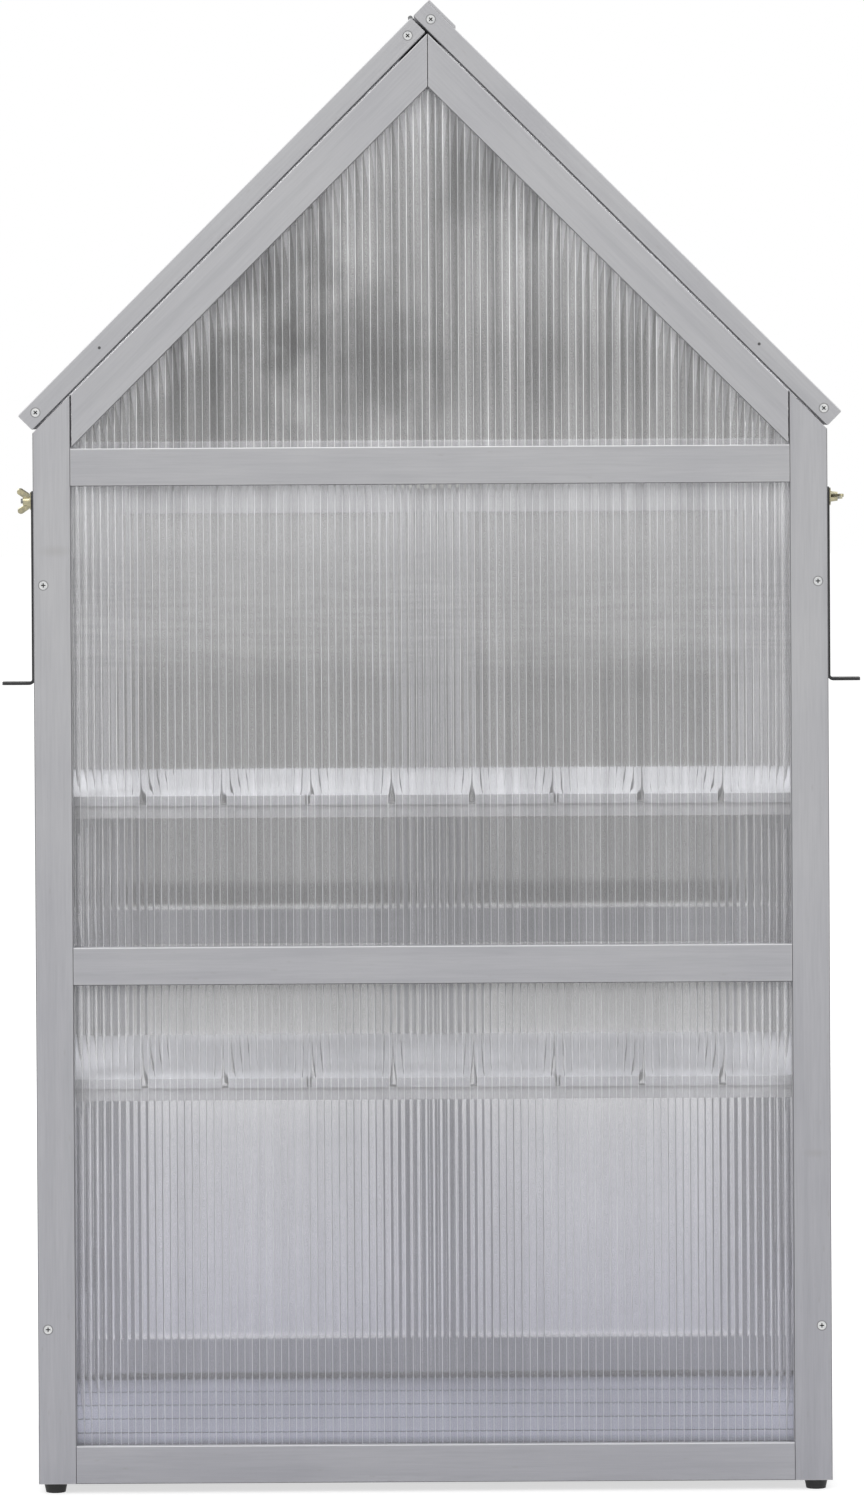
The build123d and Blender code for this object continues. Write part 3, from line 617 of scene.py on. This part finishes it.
finishes = (
    (wood["x"], ("back_bottom_rail", "back_middle_rail", "back_eaves_rail", "front_eaves_rail")),
    (wood["door_rail"], ("left_door_rails", "right_door_rails")),
    (wood["sill"], ("front_bottom_rail",)),
    (wood["batten"], ("shelf_battens",)),
    (wood["y"], ("side_rails", "shelf_cleats", "floor_bearers")),
    (wood["roof_y"], ("ridge_beam", "left_flap_cross_rails", "right_flap_cross_rails", "ridge_strip")),
    (wood["z"], ("back_left_post", "back_right_post", "front_left_post", "front_right_post", "side_stiles",
                 "left_door_stiles", "right_door_stiles")),
    (wood["rafter"], ("back_rafters", "front_rafters")),
    (wood["left"], ("left_flap_stiles",)),
    (wood["right"], ("right_flap_stiles",)),
    (wood["knob"], ("left_door_knob", "right_door_knob")),
    (wood["floor"], ("floor_boards",)),
    (wood["slat"], ("lower_shelf_slats", "upper_shelf_slats")),
    (screw_zinc, ("frame_screws", "left_flap_screws", "right_flap_screws")),
    (zinc, ("ridge_hinge_leaves", "ridge_hinge_pins", "left_flap_hinge_leaves", "right_flap_hinge_leaves",
            "door_hinge_post_leaves", "door_hinge_pins", "left_door_hinge_leaves", "right_door_hinge_leaves",
            "left_door_strike_plate", "right_door_strike_plate", "stay_bolts")),
    (yellow_zinc, ("stay_washers", "left_wing_nut", "right_wing_nut")),
    (black_coat, ("left_stay", "right_stay")),
    (foot_plastic, ("feet",)),
    (catch_plastic, ("magnetic_catch",)),
)
for material, names in finishes:
    for name in names:
        for slot in frame["nodes"][name].material_slots:
            slot.material = material


# Fluted twin-wall sheets
def add_piece(name, made, materials, body):
    """A mesh piece that rides on a body."""
    bmesh.ops.recalc_face_normals(made, faces=made.faces)
    mesh = bpy.data.meshes.new(name)
    made.to_mesh(mesh)
    made.free()
    for material in materials:
        mesh.materials.append(material)
    piece = bpy.data.objects.new(name, mesh)
    bpy.context.scene.collection.objects.link(piece)
    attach(piece, body)
    return piece


def corner(made, matrix, across, along, out):
    """A vertex of a sheet at its own coordinates."""
    return made.verts.new(matrix @ Vector((across, along, out)))


def fluted_sheet(made, matrix, width, span, chance):
    """One sheet: bulging cells between webs, closed all round, with flutes along its own second axis."""
    count = round(width / flute_pitch)
    pitch = width / count
    columns = []
    for cell in range(count):
        sink = chance.uniform(*cell_sink)
        for part in cell_steps:
            to_web = min(part, 1 - part) / groove_reach
            fall = sink * (2 * part - 1) ** 2 + web_groove * max(0.0, 1 - to_web) ** 2
            columns.append(((cell + part) * pitch - width / 2, fall, part == 0))
    columns.append((width / 2, web_groove, True))
    rows = []
    for across, sink, _ in columns:
        low, high = span(across)
        out = sheet_thickness / 2 - sink
        ring = ((low, out), (high, out), (high, -out), (low, -out))
        rows.append([corner(made, matrix, across, v, w) for v, w in ring])
    for first, second in zip(rows, rows[1:]):
        for side in range(4):
            following = (side + 1) % 4
            face = made.faces.new((first[side], second[side], second[following], first[following]))
            face.smooth = side in (0, 2)
    made.faces.new(rows[0])
    made.faces.new(reversed(rows[-1]))

    # Sharp at the webs and round the rim, smooth over the cells
    for row, (_, _, web) in zip(rows, columns):
        for side in range(4):
            made.edges.get((row[side], row[(side + 1) % 4])).smooth = not web
    for first, second in zip(rows, rows[1:]):
        for side in range(4):
            made.edges.get((first[side], second[side])).smooth = False

    reach = sheet_thickness / 2 - cell_sink[1] - web_groove - web_inset
    for across in [across for across, _, web in columns[1:-1] if web]:
        low, high = span(across)
        block = []
        for u in (across - web_thickness / 2, across + web_thickness / 2):
            for v in (low + web_inset, high - web_inset):
                block.append([corner(made, matrix, u, v, w) for w in (-reach, reach)])
        (a, b), (c, d), (e, f), (g, h) = block
        for ring in ((a, b, d, c), (e, g, h, f), (a, e, f, b), (c, d, h, g), (a, c, g, e), (b, f, h, d)):
            made.faces.new(ring).material_index = 1


def sheet_piece(node_name, body, sheets, skin, web):
    """The fluted sheets that stand for one node."""
    chance = random.Random(node_name)
    made = bmesh.new()
    for matrix, width, span in sheets:
        fluted_sheet(made, matrix, width, span, chance)
    piece = add_piece(node_name + "_fluted", made, [skins[skin], web], body)
    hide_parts(node_name)


def axes(across, along, origin):
    """Matrix of a sheet from its two directions and its middle."""
    out = across.cross(along)
    matrix = Matrix((across, along, out)).transposed().to_4x4()
    matrix.translation = origin
    return matrix


def level(low, high):
    """The same reach of every flute."""
    return lambda across: (low, high)


def gabled(foot, peak):
    """Flutes that end under a right-angled gable."""
    return lambda across: (foot, peak - abs(across))


def wall_sheets(node_name, body, skin, across_axis, left, right, planes, levels):
    """Upright sheets of one node: their two edges, their planes and the levels of the openings."""
    sheets = []
    for plane in planes:
        place = axes(across_axis, z_axis, across_axis * (left + right) / 2 + plane)
        for foot, top in levels:
            sheets.append((place, right - left, level(foot - sheet_bite, top + sheet_bite)))
    sheet_piece(node_name, body, sheets, skin, plain_web)


bottom_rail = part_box("back_bottom_rail")
middle_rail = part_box("back_middle_rail")
eaves_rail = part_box("back_eaves_rail")
bar_width = bottom_rail[1].z - bottom_rail[0].z
lights = [(bottom_rail[1].z, middle_rail[0].z), (middle_rail[1].z, eaves_rail[0].z)]

low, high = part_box("back_wall_sheets")
back_plane = y_axis * (low.y + high.y) / 2
wall_sheets("back_wall_sheets", "house", "back", x_axis, low.x, high.x, [back_plane], lights)

low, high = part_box("side_sheets")
side_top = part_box("side_rails")[1].z - bar_width
side_plane = x_axis * (high.x - sheet_thickness / 2)
wall_sheets("side_sheets", "house", "back", y_axis, low.y, high.y, [-side_plane, side_plane],
            [lights[0], (middle_rail[1].z, side_top)])

for side in ("left", "right"):
    low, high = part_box(f"{side}_door_sheets")
    door_plane = y_axis * (low.y + high.y) / 2
    door_lights = [(low.z + sheet_bite, middle_rail[0].z), (middle_rail[1].z, high.z - sheet_bite)]
    wall_sheets(f"{side}_door_sheets", f"{side}_door", "door", x_axis, low.x, high.x, [door_plane], door_lights)

for wall, skin in (("back", "back"), ("front", "door")):
    low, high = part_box(f"{wall}_gable_sheet")
    place = axes(x_axis, z_axis, y_axis * (low.y + high.y) / 2)
    gable = (place, high.x - low.x, gabled(low.z, high.z))
    sheet_piece(f"{wall}_gable_sheet", "house", [gable], skin, gable_web)

for side, run in (("left", up_right), ("right", up_left)):
    low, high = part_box(f"{side}_flap_sheet")
    length = (high.x - low.x) * sqrt(2) - sheet_thickness
    slope = (axes(y_axis, run, (low + high) / 2), high.y - low.y, level(-length / 2, length / 2))
    sheet_piece(f"{side}_flap_sheet", f"{side}_flap", [slope], "flap", plain_web)


# Cross-head screws of the hinge leaves
def screw_head(made, matrix):
    """A low round head with a cross recess, standing on its own xy plane."""
    a, b = recess_arm, recess_half
    quarter = [Vector((a, -b, 0)), Vector((a, b, 0)), Vector((b, b, 0))]
    cross = [Matrix.Rotation(turn * pi / 2, 3, "Z") @ point for turn in range(4) for point in quarter]
    rings = []
    for height, radius in ((head_height - recess_depth, None), (head_height, None),
                           (head_height * head_shoulder, head_radius), (-head_sink, head_radius)):
        ring = [(point if radius is None else point.normalized() * radius) + z_axis * height for point in cross]
        rings.append([made.verts.new(matrix @ point) for point in ring])
    for inner, outer in zip(rings, rings[1:]):
        for index in range(len(cross)):
            following = (index + 1) % len(cross)
            made.faces.new((inner[index], outer[index], outer[following], inner[following]))
    made.faces.new(rings[0])
    made.faces.new(reversed(rings[-1]))


def hinge_screws(body, places, out):
    """All hinge screws of one body, whose heads face one way."""
    made = bmesh.new()
    turn = z_axis.rotation_difference(out).to_matrix().to_4x4()
    for index, place in enumerate(places):
        screw_head(made, Matrix.Translation(place) @ turn @ Matrix.Rotation(index * screw_slew, 4, "Z"))
    add_piece(body + "_hinge_screws", made, [zinc], body)


def leaf_rows(low, high, length):
    """Screw places along a pin with a leaf at each end."""
    middles = (low + length / 2, high - length / 2)
    return [middle + side * screw_spread * length for middle in middles for side in (-1, 1)]


for body, node_name in (("left_door", "left_door_hinge_leaves"), ("right_door", "right_door_hinge_leaves"),
                        ("house", "door_hinge_post_leaves")):
    low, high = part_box(node_name)
    left_column, right_column = low.x + leaf_width / 2, high.x - leaf_width / 2
    columns = {"left_door": [right_column], "right_door": [left_column], "house": [left_column, right_column]}
    heights = leaf_rows(low.z, high.z, door_leaf_length)
    face = low.y + leaf_thickness
    hinge_screws(body, [Vector((x, face, z)) for x in columns[body] for z in heights], y_axis)

joint_places = {joint["name"]: Vector(joint["pos_m"]) for joint in frame["record"]["behaviour"]["joints"]}
for side, (from_pin, lift) in flap_leaves.items():
    low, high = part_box(f"{side}_flap_hinge_leaves")
    rows = leaf_rows(low.y, high.y, ridge_leaf_length)
    flat = joint_places["left_flap_lift"] + up_right * from_pin + up_left * lift
    hinge_screws(f"{side}_flap", [Vector((flat.x, y, flat.z)) for y in rows], up_left)

# Studio: white to the eye, soft light at a plain level
world = bpy.data.worlds.new("studio")
bpy.context.scene.world = world
world.use_nodes = True
tree = world.node_tree
sky = tree.nodes["Background"]
sky.inputs["Color"].default_value = white
feed(tree, sky.inputs["Strength"], ramp(tree, seen_directly(tree), *sky_reach))

floor_mesh = bpy.data.meshes.new("floor")
floor_corners = [(x * floor_half, y * floor_half, 0) for x, y in ((-1, -1), (1, -1), (1, 1), (-1, 1))]
floor_mesh.from_pydata(floor_corners, [], [(0, 1, 2, 3)])
floor = bpy.data.objects.new("floor", floor_mesh)
bpy.context.scene.collection.objects.link(floor)
material, tree, shader = new_material("pale_floor")
floor_mesh.materials.append(material)
away = vector_math(tree, "LENGTH", object_place(tree), result="Value")
glow = math(tree, "MULTIPLY", seen_directly(tree), ramp(tree, away, *floor_glow))
shader.inputs["Base Color"].default_value = floor_grey
shader.inputs["Roughness"].default_value = floor_rough
shader.inputs["Specular IOR Level"].default_value = 0.0
shader.inputs["Emission Color"].default_value = white
feed(tree, shader.inputs["Emission Strength"], glow)

for name, place, aim, size, power in lamps:
    data = bpy.data.lights.new(name, "AREA")
    data.energy = power
    data.size = size
    light = bpy.data.objects.new(name, data)
    light.location = place
    light.rotation_euler = (Vector(aim) - Vector(place)).to_track_quat("-Z", "Y").to_euler()
    bpy.context.scene.collection.objects.link(light)

# Camera at the photograph's place, nearly level
camera_data = bpy.data.cameras.new("camera")
camera_data.sensor_width = camera_sensor
camera_data.lens = camera_lens
camera_data.shift_y = camera_shift
camera_data.clip_end = camera_range
camera = bpy.data.objects.new("camera", camera_data)
turn = Matrix.Rotation(radians(camera_turn), 4, "Z") @ Matrix.Rotation(radians(camera_roll), 4, "Y")
tilt = Matrix.Rotation(radians(camera_tilt), 4, "X") @ Matrix.Rotation(pi / 2, 4, "X")
camera.matrix_world = Matrix.Translation(camera_place) @ turn @ tilt
bpy.context.scene.collection.objects.link(camera)
bpy.context.scene.camera = camera
bpy.context.scene.view_settings.view_transform = "Standard"
